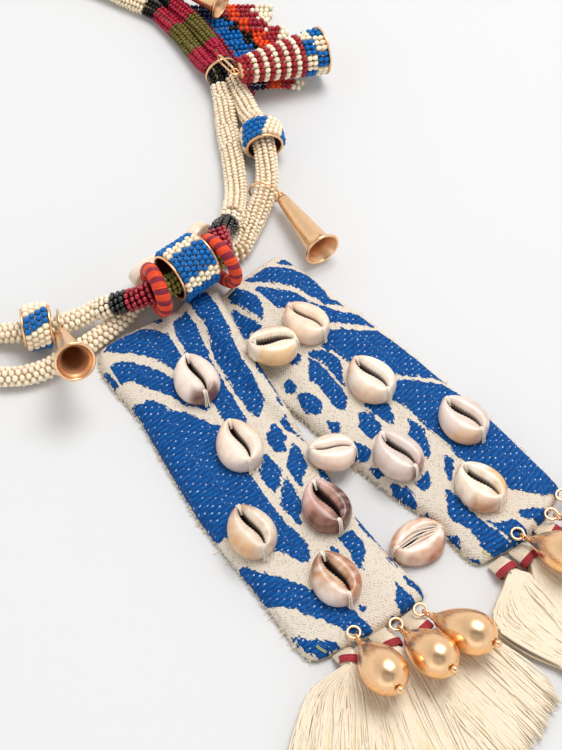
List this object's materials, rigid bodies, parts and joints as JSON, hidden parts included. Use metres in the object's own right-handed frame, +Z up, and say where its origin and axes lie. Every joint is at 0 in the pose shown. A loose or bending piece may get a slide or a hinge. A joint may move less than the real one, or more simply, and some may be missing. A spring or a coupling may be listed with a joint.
{
  "type": "shell and bead necklace",
  "caption": "Beaded strands that go round the neck, with woven pads sewn with cowries, beaded tubes, metal cones, and drops and thread tassels at the hem.",
  "frame": {"origin": "on the resting surface, under the middle of the front group of rings and tubes, where the rear strand crosses the top of the woven pads", "axes": "+X along the front group towards the bell's side, +Y from the pads to the back of the neck, +Z up from the surface that the necklace lies on"},
  "size_m": [0.2225, 0.4096, 0.033],
  "materials": {
    "woven_cloth": "plain hand-woven cotton, blue and cream, padded",
    "ivory_beads": "opaque round glass seed beads, cream with coloured stretches",
    "blue_beads": "opaque glass seed beads, blue with cream checks",
    "red_beads": "opaque glass seed beads, dark red with cream and blue rows",
    "dark_beads": "glossy glass seed beads, black, cranberry and olive",
    "wound_thread": "silky thread wound over a core, orange and burgundy",
    "gold_metal": "polished, warm rose gold",
    "shell": "natural glossy shell, cream with brown and pink patches",
    "cotton_thread": "loose combed cotton thread, cream"
  },
  "bodies": {
    "root": {"panel_left": "woven_cloth", "panel_right": "woven_cloth", "center_rope": "dark_beads", "strand_a_left": "ivory_beads", "strand_a_right": "ivory_beads", "strand_b_left": "ivory_beads", "strand_b_right": "ivory_beads", "clasp": "gold_metal", "thread_ring_left": "wound_thread", "thread_ring_right": "wound_thread", "tube_liner": "gold_metal", "tube_beads": "blue_beads", "cuff_left_liner": "gold_metal", "cuff_left_beads": "ivory_beads", "cuff_right_liner": "gold_metal", "cuff_right_beads": "ivory_beads", "gathering_ring": "gold_metal", "bell_link": "gold_metal", "bell_liner": "gold_metal", "bell_beads": "red_beads", "bead_fringe": "red_beads", "cone_left": "gold_metal", "cone_right": "gold_metal", "cone_top": "gold_metal", "hanger_left": "gold_metal", "hanger_right": "gold_metal", "hanger_top": "gold_metal", "cowrie_1": "shell", "cowrie_2": "shell", "cowrie_3": "shell", "cowrie_4": "shell", "cowrie_5": "shell", "cowrie_6": "shell", "cowrie_7": "shell", "cowrie_8": "shell", "cowrie_9": "shell", "cowrie_10": "shell", "cowrie_11": "shell", "cowrie_12": "shell", "cowrie_13": "shell", "cowrie_14": "shell", "cowrie_15": "shell", "drop_1": "gold_metal", "drop_2": "gold_metal", "drop_3": "gold_metal", "drop_4": "gold_metal", "drop_5": "gold_metal", "drop_6": "gold_metal", "drop_ring_1": "gold_metal", "drop_ring_2": "gold_metal", "drop_ring_3": "gold_metal", "drop_ring_4": "gold_metal", "drop_ring_5": "gold_metal", "drop_ring_6": "gold_metal", "tassel_1": "cotton_thread", "tassel_2": "cotton_thread", "tassel_3": "cotton_thread", "tassel_4": "cotton_thread", "tassel_5": "cotton_thread", "tassel_6": "cotton_thread"}
  },
  "joints": []
}
